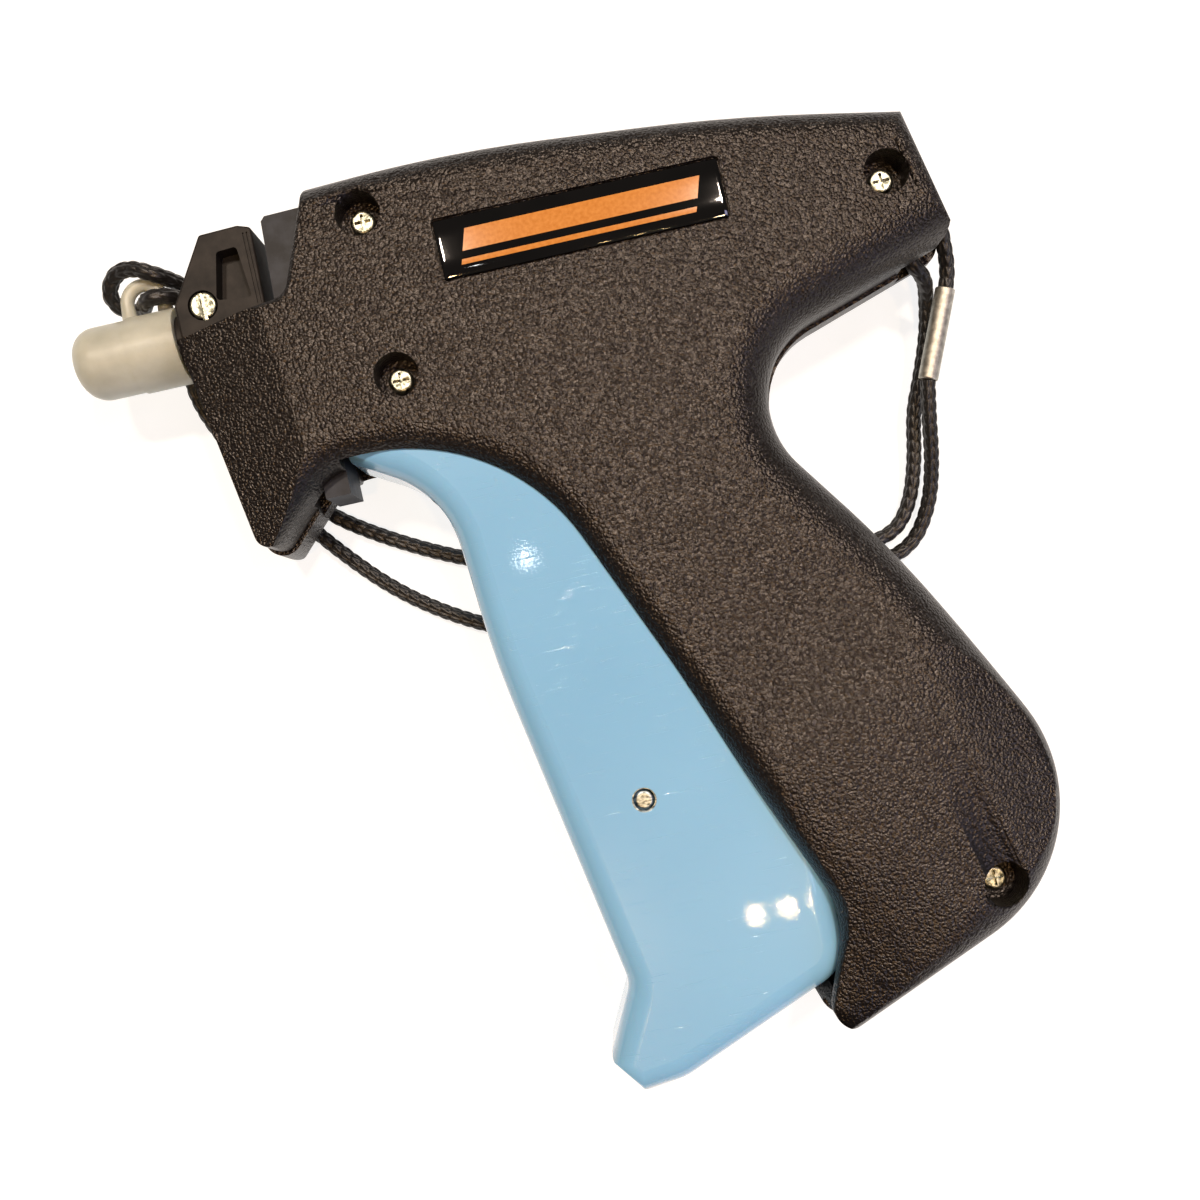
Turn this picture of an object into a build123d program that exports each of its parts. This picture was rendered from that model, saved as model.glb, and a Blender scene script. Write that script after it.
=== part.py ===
"""Garment tag attacher: moulded pistol housing, trigger, cranked lever, ejector rod, needle and lanyard.

Everything is drawn in the tool's own axes, in mm: X back from the nose, Y up from the needle's axis, Z across
from the mid plane of the moulding. The last lines lay the tool on its right side, with the middle of the
bottom of its box at the origin, and write one file per piece.
"""
from build123d import *
import math
import os

# ---------------------------------------------------------------- driving dimensions, mm and degrees
BODY_HALF = 11.5  # half thickness of the body
GRIP_HALF = 14.5  # half thickness of the grip
NOSE_HALF = 8.0  # half thickness at the front of the nose
WALL = 2.1  # wall of the housing
PROUD = 0.6  # how far the right half stands out past the left one at the joint
GAP = 0.15  # clearance of a fixed piece in the housing
RUN = 0.05  # radial clearance of a turning or sliding fit

SCREWS = [(32.1, 10.6), (32.5, -15.2), (113.6, -1.1), (106.9, -112.6)]
TRIGGER_AXIS = SCREWS[1]
RECESS_R = 3.55  # screw recess in the left half
RECESS_FLOOR = 6.0  # height of the screw heads' seat over the mid plane
CUP_WALL = 1.6  # wall of the cup round a screw recess
POST_R = 3.6
HEAD_R = 2.0
HEAD_H = 1.4
SHANK_R = 1.15
SHANK_DEPTH = 7.5  # how far a screw goes into the right half

TRIGGER_HALF = 9.0
TRIGGER_WALL = 3.0
TRIGGER_HUB_R = 7.6
SQUEEZE = 13.0  # travel of the trigger
DRIVE_PIN = (55.5, -88.3)  # pin through the trigger that drives the lever
DRIVE_PIN_R = 1.75
DRIVE_PIN_HALF = 8.6

TOP_PIN = (95.6, -6.137)  # pin at the lever's top, in the slider, at rest
LEVER_ARM = 58.0  # lever axis to that pin
LEVER_AXIS_X = 80.0
LEVER_RATIO = 2.4  # turn of the lever for each degree of the trigger
LEVER_HALF = 2.5
LEVER_EDGE = 2.6  # material beside the slot
LEVER_KNEE = (-4.5, 29.0)  # crank of the upper arm, from the lever's axis
LEVER_PIN_R = 2.0
LEVER_HUB_R = 5.2
LEVER_HUB_HALF = 5.5
TOP_PIN_R = 2.0

SLIDER_TOP = 5.0
SLIDER_BOTTOM = -9.0
SLIDER_HALF = 5.0
SLIDER_FRONT = 10.0  # slider ahead of its pin
SLIDER_BACK = 7.0
ROD_SOCKET = 2.6
SLOT_PLAY = 0.4  # play of the top pin in the slider
ROD_R = 1.0
ROD_TIP_R = 0.6
ROD_TIP_X = 17.5  # front of the rod at rest
ROD_STEP_X = 57.0
SPRING_SEAT_X = 44.0
SPRING_R = 3.2
SPRING_WIRE_R = 0.4
SPRING_TURNS = 9

NEEDLE_R = 1.1
NEEDLE_TIP_X = -16.0
NEEDLE_SLOT = 0.7
HUB_R = 2.6
HUB_LENGTH = 12.6
BLOCK_HALF = 6.5
BLOCK_FOOT_HALF = 5.5
BLOCK_FACE_X = -0.2
BOSS_R = 4.7
BOSS_LENGTH = 3.2
LOCK_SCREW = (4.3, 3.6)
LOCK_HEAD_R = 2.25
LOCK_SHANK_R = 1.6

GUIDE_HALF = 5.0
WHEEL_AXIS = (21.9, -9.5)
WHEEL_R = 6.3
WHEEL_TEETH = 12
WHEEL_HALF = 1.8
AXLE_R = 1.0

CAP_R = 6.15
CAP_TIP_R = 5.9
CAP_BASE_X = -1.5
CAP_STEP_X = -9.5
CAP_TIP_X = -19.3
CAP_BORE_R = 3.0
RING_R = 3.0  # mean radius of the cap's ring
RING_WIRE_R = 1.1
RING_CENTRE = (-6.4, 8.2)

BADGE = (45.3, 9.4)
BADGE_CENTRE = (65.7, 2.1)
BADGE_THICK = 1.0
BADGE_DEPTH = 0.7

CORD_R = 1.35
FERRULE_R = 1.65
LANYARD_POST = (119.9, -8.6)
LANYARD_POST_R = 1.7
LANYARD_SLOT_HALF = 2.8

# Outlines, all the way round. Each stretch has the corner that it starts from, that corner's rounding, its rim
# radius, and its bends as (x, y, radius).
HOUSING = [
    ((24.6, 17.3), 1.8, 4.5, [(48.0, 18.2, 240), (92.0, 14.0, 300)]),
    ((118.7, 8.8), 2.2, 4.0, []),
    ((123.1, -11.6), 3.2, 7.5, [(80.1, -25.4, 14.5), (103.3, -58.4, 150), (129.2, -110.9, 25)]),
    ((74.0, -133.5), 4.0, 5.0, [(82.2, -112.4, 14), (46.0, -26.6, 32), (18.0, -26.6, 10)]),
    ((5.5, -39.4), 2.5, 1.2, []),
    ((-0.6, -1.5), 1.0, 1.0, [(18.2, 0.9, 3)]),
]
TRIGGER = [
    ((21.3, -25.8), 0.8, 4.0, [(35.1, -33.7, 17), (37.2, -62.0, 150), (46.8, -116.6, 5)]),
    ((41.2, -127.5), 2.4, 2.5, []),
    ((45.9, -133.9), 3.6, 4.0, [(52.5, -133.1, 10), (81.6, -121.5, 7)]),
    ((81.8, -104.0), 3.0, 0.0, [(67.0, -63.5, 60), (54.0, -37.0, 40), (42.0, -16.0, 8)]),
    ((27.0, -19.0), 2.0, 0.0, []),
]
TRIGGER_OPENING = [
    (23.0, -24.1), (30.0, -28.2), (45, -60), (60, -101), (92, -101), (92, 5), (15, 5), (15, -24.1),
]
FINGER_OPENING = [
    (20.5, -60), (20.5, -21.5), (44, -21.5), (60, -40), (72, -70), (88, -108), (80.5, -126.3), (70, -130),
]
BLOCK_TOP = [(-0.2, -1.2), (14.0, 0.6), (14.4, 14.2), (12.3, 14.9), (6.0, 14.7), (-0.2, 4.5)]
BLOCK_FOOT = [(0.5, -8.0), (13.7, -8.0), (13.7, 0.8), (0.5, -0.9)]
POCKET = [(6.6, 3.9), (12.3, 3.2), (11.5, 11.6), (8.2, 11.4)]
GUIDE = [
    (15.2, 0.5), (15.9, 15.2), (16.6, 15.9), (24.0, 16.1), (24.2, 14.6), (26.0, 14.6), (26.0, -17.0),
    (20.5, -17.0), (20.5, -30.5), (16.4, -30.5), (16.2, -8.0),
]
FEED_SLOT = (13.85, 16.2)  # where the clip of fasteners goes down through the nose
FEED_SLOT_HALF = 3.0

# How the side bends down past a line, on its right: the line's two points, the run, the height before and
# after it, and the radius of the bend.
SLOPE_HEAD = GRIP_HALF + 0.3  # the grip's slopes start just over its side
SLOPE_FOOT = BODY_HALF + 0.1  # and end just over the body's
NOSE_HEAD = GRIP_HALF + 1.0
RAMPS = [
    ((70.5, -66.8), (92.9, -108.7), 18.0, SLOPE_HEAD, SLOPE_FOOT, 110),
    ((105.5, -108.0), (96.0, -66.0), 15.0, SLOPE_HEAD, SLOPE_FOOT, 90),
    ((30.1, -2.1), (32.9, -29.2), 30.0, NOSE_HEAD, NOSE_HALF, 6),
]
GRIP_LINE = ((80.0, -56.0), (92.9, -86.0))  # down the middle of the grip
GRIP_STEP = (2.0, 44.0)  # where the grip's side starts and stops rising, along that line
FAR = 300.0  # beyond any piece

# The lanyard, from the lower mouth of its ferrule under the tool to the cap's ring and back, round the post
# at the rear and into the ferrule's upper mouth. Heights are over the table.
ROUTE = [
    (117.4, -31.4, 9.6), (116.6, -36.7, 8.6), (116.2, -44.3, 5.8), (114.6, -51.8, 3.4), (110.3, -58.2, 1.7),
    (102.0, -59.6, 1.38), (91.0, -61.3, 1.38), (75.0, -61.0, 1.4), (58.0, -60.6, 1.4), (45.0, -58.9, 1.4),
    (33.5, -54.2, 1.4), (22.0, -46.4, 1.4), (12.5, -36.1, 1.4), (5.0, -25.8, 1.5), (-1.2, -15.3, 2.6),
    (-4.6, -6.2, 5.0), (-3.9, 0.6, 6.0), (-1.5, 5.8, 7.0), (-0.6, 7.6, 12.4), (-1.2, 7.6, 17.4),
    (-5.2, 7.7, 18.2), (-7.9, 8.1, 11.2), (-11.3, 8.8, 10.9), (-12.6, 11.2, 13.4), (-10.3, 13.7, 15.2),
    (-6.9, 13.6, 16.8), (-3.4, 11.6, 17.6), (-0.9, 10.8, 13.6), (0.0, 10.3, 9.3), (1.9, 8.9, 5.4),
    (2.9, 3.6, 4.4), (2.9, -3.6, 3.7), (2.9, -11.5, 2.4), (5.4, -20.4, 1.5), (11.9, -29.5, 1.4),
    (21.6, -36.3, 1.4), (33.5, -42.6, 1.4), (48.0, -48.0, 1.4), (65.0, -52.3, 1.4), (82.0, -54.6, 1.4),
    (97.0, -56.0, 1.4), (107.4, -55.4, 1.5), (111.5, -51.0, 2.2), (113.9, -43.4, 3.4), (115.0, -35.6, 4.8),
    (117.1, -30.6, 5.6), (119.8, -23.2, 6.4), (120.6, -17.6, 8.0), (119.8, -15.2, 12.4), (117.2, -12.6, 14.6),
    (116.4, -5.1, 14.5), (123.4, -4.9, 14.5), (123.7, -9.6, 13.8), (124.2, -15.0, 11.1), (123.2, -17.4, 10.9),
]
BIGHT = (13, 32)  # the stretch that follows the cap starts and ends in the middle of these runs of the route

# ---------------------------------------------------------------- sizes that follow
TRIGGER_SLOT = BODY_HALF - WALL  # inner face of the body's side walls
CUP_R = RECESS_R + CUP_WALL
CUP_FLOOR = RECESS_FLOOR - CUP_WALL + 0.2
REST = math.degrees(math.asin((TOP_PIN[0] - LEVER_AXIS_X) / LEVER_ARM))  # upper arm's lean at rest
SWING = LEVER_RATIO * SQUEEZE
LEVER_AXIS = (LEVER_AXIS_X, TOP_PIN[1] - LEVER_ARM * math.cos(math.radians(REST)))
STROKE = LEVER_ARM * (math.sin(math.radians(REST)) - math.sin(math.radians(REST - SWING)))


def turned(point, centre, degrees):
    """The point turned about the centre."""
    a = math.radians(degrees)
    x, y = point[0] - centre[0], point[1] - centre[1]
    return (centre[0] + x * math.cos(a) - y * math.sin(a), centre[1] + x * math.sin(a) + y * math.cos(a))


# ---------------------------------------------------------------- shapes used by several pieces
def rod(x0, x1, r):
    """A round bar along X on the needle's axis."""
    return Plane(origin=(x0, 0, 0), x_dir=(0, 1, 0), z_dir=(1, 0, 0)) * Cylinder(
        r, x1 - x0, align=(Align.CENTER, Align.CENTER, Align.MIN))


def pin(point, r, z0, z1):
    """A round bar along Z."""
    return Pos(point[0], point[1], z0) * Cylinder(r, z1 - z0, align=(Align.CENTER, Align.CENTER, Align.MIN))


def plate(points, z0, z1):
    """A flat piece between two heights."""
    return Pos(0, 0, z0) * extrude(make_face(Polyline(*points, close=True)), z1 - z0)


def block(x0, x1, y0, y1, z0, z1):
    """A box by its limits."""
    return Pos(x0, y0, z0) * Box(x1 - x0, y1 - y0, z1 - z0, align=Align.MIN)


def bar(a, b, r, half):
    """A flat bar with round ends, from a to b."""
    length = math.dist(a, b)
    angle = math.degrees(math.atan2(b[1] - a[1], b[0] - a[0]))
    face = Rectangle(length, 2 * r) + Pos(-length / 2, 0) * Circle(r) + Pos(length / 2, 0) * Circle(r)
    middle = Pos((a[0] + b[0]) / 2, (a[1] + b[1]) / 2) * Rot(0, 0, angle)
    return middle * extrude(face, half, both=True)


def slot_along(path, r, half):
    """A curved bar with round ends, whose middle line passes through the points."""
    left, right = [], []
    for i, point in enumerate(path):
        before, after = path[max(i - 1, 0)], path[min(i + 1, len(path) - 1)]
        run = Vector(after[0] - before[0], after[1] - before[1], 0).normalized()
        left.append(Vector(*point) + run.rotate(Axis.Z, 90) * r)
        right.append(Vector(*point) - run.rotate(Axis.Z, 90) * r)
    start = Vector(*path[0]) - Vector(path[1][0] - path[0][0], path[1][1] - path[0][1], 0).normalized() * r
    end = Vector(*path[-1]) + Vector(path[-1][0] - path[-2][0], path[-1][1] - path[-2][1], 0).normalized() * r
    edges = [Spline(*left), ThreePointArc(left[-1], end, right[-1]), Spline(*right[::-1]),
             ThreePointArc(right[0], start, left[0])]
    return extrude(make_face(edges), half, both=True)


def outline(stretches, rounded=False):
    """The flat outline, with its corners sharp or rounded."""
    points, radii = [], []
    for corner, rounding, _, bends in stretches:
        points.append(corner)
        radii.append(rounding if rounded else 0)
        for x, y, r in bends:
            points.append((x, y))
            radii.append(r)
    return make_face(FilletPolyline(*points, radius=radii, close=True))


def stretch_line(stretches, index):
    """The line of one stretch, from corner to corner."""
    corner, _, _, bends = stretches[index]
    after = stretches[(index + 1) % len(stretches)][0]
    if not bends:
        return Line(corner, after)
    return FilletPolyline(corner, *[(x, y) for x, y, _ in bends], after, radius=[r for _, _, r in bends])


def moulding(stretches, height, tops=(), inset=0.0):
    """Half of a moulding over the mid plane: its outline drawn in by an inset, its rims rounded stretch by
    stretch and its top face cut down by the other solids."""
    flat = offset(outline(stretches), -inset, kind=Kind.INTERSECTION) if inset else outline(stretches)
    raw = extrude(flat, height)
    for top in tops[:1]:
        raw &= top
    lines = [stretch_line(stretches, i) for i in range(len(stretches))]
    wire = flat.face().outer_wire()
    shape = raw
    for i, (_, _, rim, _) in enumerate(stretches):
        radius = rim - max(inset, 0)
        if radius < 0.3:
            continue
        edges = []
        for edge in raw.edges():
            middle = edge @ 0.5
            foot = Vertex(middle.X, middle.Y, 0)
            nearest = min(range(len(lines)), key=lambda k: lines[k].distance_to(foot))
            upright = abs((edge % 0.5).Z) > 0.9
            if middle.Z > 1 and not upright and wire.distance_to(foot) < 0.02 and nearest == i:
                edges.append(edge)
        shape &= fillet(edges, radius)
    for top in tops[1:]:
        shape &= top
    soft = outline(stretches, rounded=True)
    soft = offset(soft, -inset, kind=Kind.INTERSECTION) if inset else soft
    return shape & extrude(soft, height)


# ---------------------------------------------------------------- the housing
def crown(inset):
    """The side's height along the grip: the body's thickness, then a soft step up to the grip's."""
    start, end = (Vector(*point) for point in GRIP_LINE)
    down = (end - start).normalized()
    plane = Plane(origin=start, x_dir=down, z_dir=down.cross(Vector(0, 0, 1)))
    low, high = BODY_HALF - inset, GRIP_HALF - inset
    foot, head = (GRIP_STEP[0], low), (GRIP_STEP[1], high)
    middle = ((foot[0] + head[0]) / 2, (low + high) / 2)
    profile = [
        Line((-FAR, 0), (-FAR, low)), Line((-FAR, low), foot), TangentArc(foot, middle, tangent=(1, 0)),
        TangentArc(head, middle, tangent=(-1, 0)), Line(head, (FAR, high)), Line((FAR, high), (FAR, 0)),
        Line((FAR, 0), (-FAR, 0)),
    ]
    return extrude(plane * make_face(profile), FAR, both=True)


def ramp(start, end, run, before, after, bend, inset):
    """All that lies under a top face that bends down past the line from start to end, on its right."""
    along = Vector(end[0] - start[0], end[1] - start[1], 0).normalized()
    out = along.cross(Vector(0, 0, 1))
    plane = Plane(origin=(*start, 0), x_dir=out, z_dir=out.cross(Vector(0, 0, 1)))
    top, low = before - inset, after - inset
    points = [(-FAR, top), (0, top), (run, low), (FAR, low), (FAR, -1), (-FAR, -1)]
    face = make_face(FilletPolyline(*points, radius=[0, bend, bend / 2, 0, 0, 0], close=True))
    return extrude(plane * face, FAR, both=True)


def housing_form(inset=0.0, proud=0.0):
    """One half's solid form, drawn in all over by an inset, or drawn out at its outline only."""
    tops = [crown(inset)] + [ramp(*values, inset) for values in RAMPS]
    return moulding(HOUSING, NOSE_HEAD, tops, inset - proud)


def cups():
    """Posts for the screws, with the cups of their recesses."""
    solid = Part()
    for point in SCREWS:
        solid += pin(point, POST_R, 0, RECESS_FLOOR) + pin(point, CUP_R, CUP_FLOOR, GRIP_HALF)
    return solid


def inner_parts():
    """What stands inside each half: posts, slider rails, the spring's seat and the lanyard post."""
    back = TOP_PIN[0] + SLIDER_BACK + 1
    front = TOP_PIN[0] - STROKE - SLIDER_FRONT - 3
    rails = block(front, back, SLIDER_TOP + 0.1, SLIDER_TOP + 2, 0, BODY_HALF)
    rails += block(front, back, SLIDER_BOTTOM - 2, SLIDER_BOTTOM - 0.1, LEVER_HALF + 1, BODY_HALF)
    seat = block(SPRING_SEAT_X - 2, SPRING_SEAT_X, -5.5, 5.5, 0, BODY_HALF) - rod(0, 60, ROD_R + 0.4)
    post = pin(LANYARD_POST, LANYARD_POST_R, 0, BODY_HALF)
    return cups() + rails + seat + post


def needle_room():
    """Room in the nose for the needle block, its boss and the clip guide."""
    foot = offset(make_face(Polyline(*BLOCK_FOOT, close=True)), GAP)
    room = extrude(foot, BLOCK_FOOT_HALF + GAP, both=True)
    room += block(-4, 14.1, -2.2, 3, -BLOCK_FOOT_HALF - GAP, BLOCK_FOOT_HALF + GAP)
    room += extrude(offset(make_face(Polyline(*BLOCK_TOP, close=True)), GAP), BLOCK_HALF + GAP, both=True)
    room += rod(-5, 0.7, BOSS_R + GAP)
    room += extrude(offset(make_face(Polyline(*GUIDE, close=True)), GAP), GUIDE_HALF + GAP, both=True)
    return room + block(*FEED_SLOT, -45, 5, -FEED_SLOT_HALF, FEED_SLOT_HALF)


def lanyard_slot():
    """The way round the lanyard post, open to the rear and below."""
    x, y = LANYARD_POST
    reach = LANYARD_POST_R + 2 * CORD_R + 0.6
    half = LANYARD_SLOT_HALF
    way = pin(LANYARD_POST, reach, -half, half)
    way += block(x - reach, x + 6, y - 9, y, -half, half) + block(x, x + 6, y - 3, y + reach, -half, half)
    return way - pin(LANYARD_POST, LANYARD_POST_R, -half, half)


def half_shell(proud=0.0):
    """A half of the housing on the upper side of the mid plane, without its screw holes."""
    outside = housing_form(0, proud)
    inside = housing_form(WALL)
    shell = outside - inside + (inner_parts() & outside)
    shell -= plate(FINGER_OPENING, -1, TRIGGER_SLOT)
    shell -= needle_room()
    shell -= lanyard_slot()
    shell -= pin(LEVER_AXIS, LEVER_PIN_R, -1, BODY_HALF - 0.6)
    shell -= pin(WHEEL_AXIS, AXLE_R, -1, BODY_HALF - 0.8)
    return shell


def housing_left():
    """The half with the screw recesses and the badge."""
    shell = half_shell()
    for point in SCREWS:
        shell -= pin(point, RECESS_R, RECESS_FLOOR, 20) + pin(point, SHANK_R + 0.2, -1, 20)
    recess = Pos(*BADGE_CENTRE, BODY_HALF - BADGE_DEPTH) * extrude(RectangleRounded(
        BADGE[0] + 0.6, BADGE[1] + 0.6, 0.9), 3)
    return shell - recess


def housing_right():
    """The half that the screws bite into; the tool lies on it."""
    shell = half_shell(PROUD)
    for point in SCREWS:
        shell -= pin(point, SHANK_R, -1, SHANK_DEPTH)
    return mirror(shell, about=Plane.XY)


def screw(point):
    """A pan head screw with a cross recess."""
    head = pin(point, HEAD_R, RECESS_FLOOR, RECESS_FLOOR + HEAD_H)
    head = fillet(head.edges().group_by(Axis.Z)[-1], 0.6)
    x, y = point
    top = RECESS_FLOOR + HEAD_H
    cross = block(x - 1.3, x + 1.3, y - 0.25, y + 0.25, top - 0.8, top + 1)
    cross += block(x - 0.25, x + 0.25, y - 1.3, y + 1.3, top - 0.8, top + 1)
    return head - cross + pin(point, SHANK_R, -SHANK_DEPTH, RECESS_FLOOR)


def badge():
    """A domed plate, stuck in its recess."""
    base = BODY_HALF - BADGE_DEPTH
    body = Pos(*BADGE_CENTRE, base) * extrude(RectangleRounded(*BADGE, 0.7), BADGE_THICK)
    return fillet(body.edges().group_by(Axis.Z)[-1], 0.5)


# ---------------------------------------------------------------- the trigger and its drive
def trigger():
    """A channel with a toe, open to the rear, on the cups of the screw behind the nose."""
    half = moulding(TRIGGER, TRIGGER_HALF)
    body = half + mirror(half, about=Plane.XY) + pin(TRIGGER_AXIS, TRIGGER_HUB_R, -TRIGGER_HALF, TRIGGER_HALF)
    room = offset(outline(TRIGGER), -TRIGGER_WALL, kind=Kind.INTERSECTION)
    room += make_face(Polyline(*TRIGGER_OPENING, close=True))
    body -= extrude(room, TRIGGER_HALF - TRIGGER_WALL, both=True)
    body -= pin(TRIGGER_AXIS, CUP_R + RUN, -TRIGGER_HALF, TRIGGER_HALF)
    body -= pin(DRIVE_PIN, DRIVE_PIN_R + 0.2, -TRIGGER_HALF, TRIGGER_HALF)
    notch = [turned(LEVER_AXIS, TRIGGER_AXIS, -SQUEEZE + 6 * i) for i in range(5)]
    return body - slot_along(notch, LEVER_PIN_R + 0.3, TRIGGER_HALF)


def trigger_pin():
    """The domed pin through the trigger."""
    body = pin(DRIVE_PIN, DRIVE_PIN_R, -DRIVE_PIN_HALF, DRIVE_PIN_HALF)
    collars = pin(DRIVE_PIN, DRIVE_PIN_R + 0.2, -8.0, -6.5) + pin(DRIVE_PIN, DRIVE_PIN_R + 0.2, 6.5, 8.0)
    return fillet(body.edges(), 0.7) + collars


def lever_slot_path():
    """Where the trigger's pin passes in the lever, as the lever turns by its ratio."""
    path = []
    for i in range(9):
        squeeze = SQUEEZE * (i - 0.25) / 7.5
        point = turned(DRIVE_PIN, TRIGGER_AXIS, squeeze)
        path.append(turned(point, LEVER_AXIS, -LEVER_RATIO * squeeze))
    return path


def drive_lever():
    """A cranked lever: the trigger's pin works in the curved slot of its lower end."""
    path = lever_slot_path()
    x, y = LEVER_AXIS
    knee = (x + LEVER_KNEE[0], y + LEVER_KNEE[1])
    body = slot_along(path, DRIVE_PIN_R + LEVER_EDGE, LEVER_HALF)
    body += bar(LEVER_AXIS, path[-1], 4.2, LEVER_HALF)
    body += bar(LEVER_AXIS, knee, 4.0, LEVER_HALF) + bar(knee, TOP_PIN, 3.6, LEVER_HALF)
    body += pin(LEVER_AXIS, LEVER_HUB_R, -LEVER_HUB_HALF, LEVER_HUB_HALF)
    body -= slot_along(path, DRIVE_PIN_R + RUN + 0.03, LEVER_HALF)
    body -= pin(LEVER_AXIS, LEVER_PIN_R + RUN, -LEVER_HUB_HALF, LEVER_HUB_HALF)
    return body - pin(TOP_PIN, TOP_PIN_R, -LEVER_HALF, LEVER_HALF)


def slider():
    """A fork round the lever's top, which carries the ejector rod."""
    x, y = TOP_PIN
    body = block(x - SLIDER_FRONT, x + SLIDER_BACK, SLIDER_BOTTOM, SLIDER_TOP, -SLIDER_HALF, SLIDER_HALF)
    body = fillet(body.edges().filter_by(Axis.Z), 1.2)
    body -= block(x - SLIDER_FRONT + 3, x + 20, -20, 3.2, -LEVER_HALF - 0.5, LEVER_HALF + 0.5)
    rise = LEVER_ARM - (y - LEVER_AXIS[1])
    reach = TOP_PIN_R + SLOT_PLAY
    body -= block(x - reach, x + reach, y - TOP_PIN_R - 0.3, y + rise + TOP_PIN_R + 0.3, -9, 9)
    return body - rod(x - SLIDER_FRONT, x - SLIDER_FRONT + ROD_SOCKET, ROD_R)


def ejector_rod():
    """The stepped rod that pushes the fastener out."""
    end = TOP_PIN[0] - SLIDER_FRONT + ROD_SOCKET
    body = rod(ROD_STEP_X, end, ROD_R) + rod(ROD_TIP_X, ROD_STEP_X, ROD_TIP_R)
    return body


def return_spring():
    """A compression spring on the rod, from its seat to the slider."""
    length = TOP_PIN[0] - SLIDER_FRONT - SPRING_SEAT_X - 0.1
    pitch = (length - 2 * SPRING_WIRE_R) / SPRING_TURNS
    path = Helix(pitch, pitch * SPRING_TURNS, SPRING_R)
    section = Plane(path @ 0, z_dir=path % 0) * Circle(SPRING_WIRE_R)
    coil = sweep(section, path, is_frenet=True)
    return Pos(SPRING_SEAT_X + SPRING_WIRE_R + 0.05, 0, 0) * Rot(0, 90, 0) * coil


# ---------------------------------------------------------------- nose: needle, block, guide and feed
def needle():
    """A hollow needle, slotted along one side, with a slanted point."""
    body = rod(NEEDLE_TIP_X, HUB_LENGTH, NEEDLE_R) - rod(NEEDLE_TIP_X, HUB_LENGTH, ROD_TIP_R + 0.1)
    body -= block(NEEDLE_TIP_X, HUB_LENGTH, -NEEDLE_SLOT / 2, NEEDLE_SLOT / 2, 0, 2)
    point = [(NEEDLE_TIP_X, -NEEDLE_R), (NEEDLE_TIP_X, 2), (NEEDLE_TIP_X + 4.5, 2)]
    return body - plate(point, -2, 2)


def needle_hub():
    """The needle's plastic holder, notched for the lock screw."""
    body = rod(0.2, HUB_LENGTH, HUB_R) - rod(0, HUB_LENGTH, NEEDLE_R)
    return body - pin(LOCK_SCREW, LOCK_SHANK_R + RUN, -3, 3)


def needle_block():
    """The block that holds the needle, with its pocket and the boss that carries the cap."""
    top = extrude(make_face(Polyline(*BLOCK_TOP, close=True)), BLOCK_HALF, both=True)
    top = fillet(top.edges().filter_by(Axis.Z), 0.7)
    top = fillet(top.edges().group_by(Axis.Z)[-1], 0.4)
    body = top + plate(BLOCK_FOOT, -BLOCK_FOOT_HALF, BLOCK_FOOT_HALF)
    body += block(0.5, 13.7, -1.3, 2, -BLOCK_FOOT_HALF, BLOCK_FOOT_HALF)
    body += rod(BLOCK_FACE_X - BOSS_LENGTH, 1.0, BOSS_R)
    pocket = make_face(FilletPolyline(*POCKET, radius=0.6, close=True))
    body -= Pos(0, 0, BLOCK_HALF - 3.2) * extrude(pocket, 5)
    body -= rod(-5, 0.2, NEEDLE_R + 0.2) + rod(0.2, 20, HUB_R + RUN)
    body -= pin(LOCK_SCREW, LOCK_SHANK_R + RUN, -4.5, 20)
    body -= pin(LOCK_SCREW, LOCK_HEAD_R + 0.15, BLOCK_HALF - 1.6, 20)
    for x in (12.9, 13.5):
        body -= block(x, x + 0.25, 2.0, 13.5, BLOCK_HALF - 0.3, 9)
    return body


def needle_lock_screw():
    """A slotted screw with a flat on its shank: turned, it frees the needle's hub."""
    seat = BLOCK_HALF - 1.5
    head = pin(LOCK_SCREW, LOCK_HEAD_R, seat, seat + 1.6)
    head = fillet(head.edges().group_by(Axis.Z)[-1], 0.5)
    x, y = LOCK_SCREW
    head -= block(x - 0.4, x + 0.4, y - 3, y + 3, seat + 0.8, seat + 3)
    shank = pin(LOCK_SCREW, LOCK_SHANK_R, -4.3, seat)
    return head + shank - block(x + 0.9, x + 3, y - 3, y + 3, -3.0, 3.0)


def needle_cap():
    """The soft cap over the needle, with the ring for the cord."""
    body = rod(CAP_STEP_X, CAP_BASE_X, CAP_R) + rod(CAP_TIP_X, CAP_STEP_X, CAP_TIP_R)
    body = fillet(body.edges().group_by(Axis.X)[0], 4.0)
    x, y = RING_CENTRE
    ring = Plane(origin=(x, y, 0)) * Torus(RING_R, RING_WIRE_R)
    ring = ring & block(x - 9, x + 9, y, y + 9, -3, 3)
    for side in (-RING_R, RING_R):
        leg = Plane(origin=(x + side, y, 0), z_dir=(0, -1, 0)) * Cone(
            RING_WIRE_R, RING_WIRE_R + 0.35, y - 4.5, align=(Align.CENTER, Align.CENTER, Align.MIN))
        ring += leg
    body += ring
    body -= rod(CAP_TIP_X + 2.2, 2, CAP_BORE_R)
    return body - rod(BLOCK_FACE_X - BOSS_LENGTH - 0.3, 2, BOSS_R + RUN)


def clip_guide():
    """The upright piece behind the feed slot, with a window for the feed wheel."""
    body = extrude(make_face(Polyline(*GUIDE, close=True)), GUIDE_HALF, both=True)
    body = fillet(body.edges().filter_by(Axis.Z).group_by(Axis.Y)[-1], 0.3)
    body -= pin(WHEEL_AXIS, WHEEL_R + 0.4, -WHEEL_HALF - 0.4, WHEEL_HALF + 0.4)
    body -= pin(WHEEL_AXIS, AXLE_R, -9, 9)
    return body - rod(10, 30, ROD_R + 0.3)


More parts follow.
